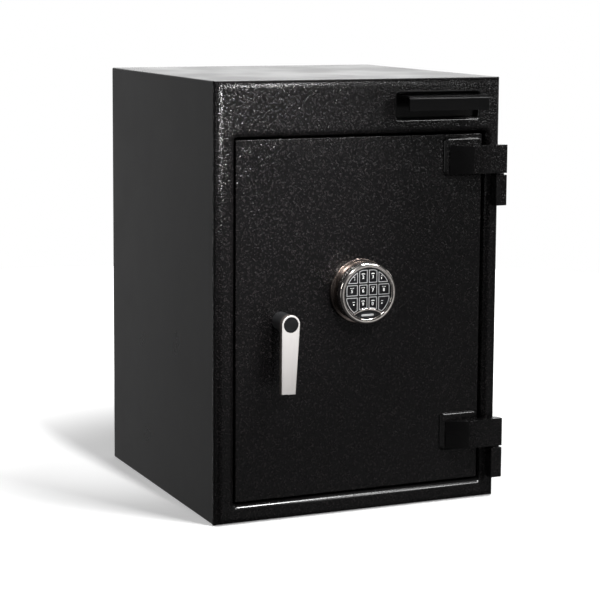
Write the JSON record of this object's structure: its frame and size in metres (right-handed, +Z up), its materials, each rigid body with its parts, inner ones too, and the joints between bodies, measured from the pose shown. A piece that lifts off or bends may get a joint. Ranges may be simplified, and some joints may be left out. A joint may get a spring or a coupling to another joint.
{
  "type": "drop safe",
  "caption": "Steel drop safe with a pull-out deposit drawer above a hinged door that has a round keypad, a lever handle and sliding bolts.",
  "frame": {"origin": "centre of the base's footprint, on the surface that the safe stands on", "axes": "+Z up, -Y out of the front, where the door and the drawer are, +X to the right as seen from the front, on the hinge side"},
  "size_m": [0.5107, 0.548, 0.711],
  "materials": {
    "textured_paint": "black paint with a fine wrinkled texture",
    "smooth_paint": "smooth satin black paint",
    "zinc_steel": "zinc-plated sheet steel",
    "plain_steel": "turned and ground steel",
    "hard_steel": "dark hardened plate",
    "chrome": "polished nickel chrome",
    "satin_steel": "satin nickel",
    "black_plastic": "moulded black plastic",
    "gloss_black": "glossy black window",
    "grey_plastic": "moulded dark grey plastic",
    "key_plastic": "black key with a raised silver outline",
    "circuit_board": "green circuit board"
  },
  "bodies": {
    "cabinet": {"body_shell": "smooth_paint", "back_plate": "smooth_paint", "front_frame": "textured_paint", "deposit_chute": "zinc_steel", "drawer_stop": "zinc_steel", "flap_pin": "plain_steel", "hinge_knuckle_top": "textured_paint", "hinge_pin_top": "plain_steel", "hinge_knuckle_bottom": "textured_paint", "hinge_pin_bottom": "plain_steel"},
    "door": {"door_plate": "textured_paint", "door_cover": "smooth_paint", "bolt_guide": "plain_steel", "dead_bar": "plain_steel", "hard_plate": "hard_steel", "lock_case": "zinc_steel", "hinge_strap_top": "textured_paint", "hinge_strap_bottom": "textured_paint", "spindle_bush": "plain_steel", "keypad_base": "chrome", "keypad_bezel": "chrome", "keypad_face": "black_plastic", "keypad_arch": "chrome", "keypad_window": "gloss_black", "keypad_board": "circuit_board", "keypad_battery": "grey_plastic", "keypad_cable": "black_plastic"},
    "handle": {"handle_lever": "satin_steel", "lever_cap": "black_plastic", "handle_hub": "grey_plastic", "spindle": "plain_steel", "drive_cam": "plain_steel"},
    "boltwork": {"bolt_carriage": "zinc_steel", "locking_bolt_1": "plain_steel", "locking_bolt_2": "plain_steel", "locking_bolt_3": "plain_steel"},
    "lock": {"lock_bolt": "plain_steel"},
    "drawer": {"drawer_tray": "zinc_steel", "drawer_pull": "smooth_paint"},
    "flap": {"stripper_flap": "zinc_steel"},
    "key_1": {"key_01": "key_plastic"},
    "key_2": {"key_02": "key_plastic"},
    "key_3": {"key_03": "key_plastic"},
    "key_4": {"key_04": "key_plastic"},
    "key_5": {"key_05": "key_plastic"},
    "key_6": {"key_06": "key_plastic"},
    "key_7": {"key_07": "key_plastic"},
    "key_8": {"key_08": "key_plastic"},
    "key_9": {"key_09": "key_plastic"},
    "key_10": {"key_10": "key_plastic"},
    "key_11": {"key_11": "key_plastic"},
    "key_12": {"key_12": "key_plastic"}
  },
  "joints": [
    {"name": "door_hinge", "type": "hinge", "parent": "cabinet", "child": "door", "pos_m": [0.2473, -0.2634, 0.553], "axis": [0, 0, 1], "range_deg": [0, 110]},
    {"name": "drawer_slide", "type": "slide", "parent": "cabinet", "child": "drawer", "axis": [0, -1, 0], "range_m": [0, 0.15]},
    {"name": "flap_swing", "type": "hinge", "parent": "cabinet", "child": "flap", "pos_m": [0.13595, -0.217, 0.6841], "axis": [1, 0, 0], "range_deg": [0, 65]},
    {"name": "handle_turn", "type": "hinge", "parent": "door", "child": "handle", "pos_m": [-0.142, -0.2495, 0.327], "axis": [0, 1, 0], "range_deg": [0, 90]},
    {"name": "bolt_throw", "type": "slide", "parent": "door", "child": "boltwork", "axis": [-1, 0, 0], "range_m": [0, 0.022]},
    {"name": "lock_throw", "type": "slide", "parent": "door", "child": "lock", "axis": [0, 0, -1], "range_m": [0, 0.012]},
    {"name": "key_01_press", "type": "slide", "parent": "door", "child": "key_1", "axis": [0, 1, 0], "range_m": [0, 0.0012], "stiffness_N_per_m": 500},
    {"name": "key_02_press", "type": "slide", "parent": "door", "child": "key_2", "axis": [0, 1, 0], "range_m": [0, 0.0012], "stiffness_N_per_m": 500},
    {"name": "key_03_press", "type": "slide", "parent": "door", "child": "key_3", "axis": [0, 1, 0], "range_m": [0, 0.0012], "stiffness_N_per_m": 500},
    {"name": "key_04_press", "type": "slide", "parent": "door", "child": "key_4", "axis": [0, 1, 0], "range_m": [0, 0.0012], "stiffness_N_per_m": 500},
    {"name": "key_05_press", "type": "slide", "parent": "door", "child": "key_5", "axis": [0, 1, 0], "range_m": [0, 0.0012], "stiffness_N_per_m": 500},
    {"name": "key_06_press", "type": "slide", "parent": "door", "child": "key_6", "axis": [0, 1, 0], "range_m": [0, 0.0012], "stiffness_N_per_m": 500},
    {"name": "key_07_press", "type": "slide", "parent": "door", "child": "key_7", "axis": [0, 1, 0], "range_m": [0, 0.0012], "stiffness_N_per_m": 500},
    {"name": "key_08_press", "type": "slide", "parent": "door", "child": "key_8", "axis": [0, 1, 0], "range_m": [0, 0.0012], "stiffness_N_per_m": 500},
    {"name": "key_09_press", "type": "slide", "parent": "door", "child": "key_9", "axis": [0, 1, 0], "range_m": [0, 0.0012], "stiffness_N_per_m": 500},
    {"name": "key_10_press", "type": "slide", "parent": "door", "child": "key_10", "axis": [0, 1, 0], "range_m": [0, 0.0012], "stiffness_N_per_m": 500},
    {"name": "key_11_press", "type": "slide", "parent": "door", "child": "key_11", "axis": [0, 1, 0], "range_m": [0, 0.0012], "stiffness_N_per_m": 500},
    {"name": "key_12_press", "type": "slide", "parent": "door", "child": "key_12", "axis": [0, 1, 0], "range_m": [0, 0.0012], "stiffness_N_per_m": 500}
  ],
  "couplings": [
    {"joint": "bolt_throw", "follows": "handle_turn", "m_per_rad": 0.014006}
  ]
}
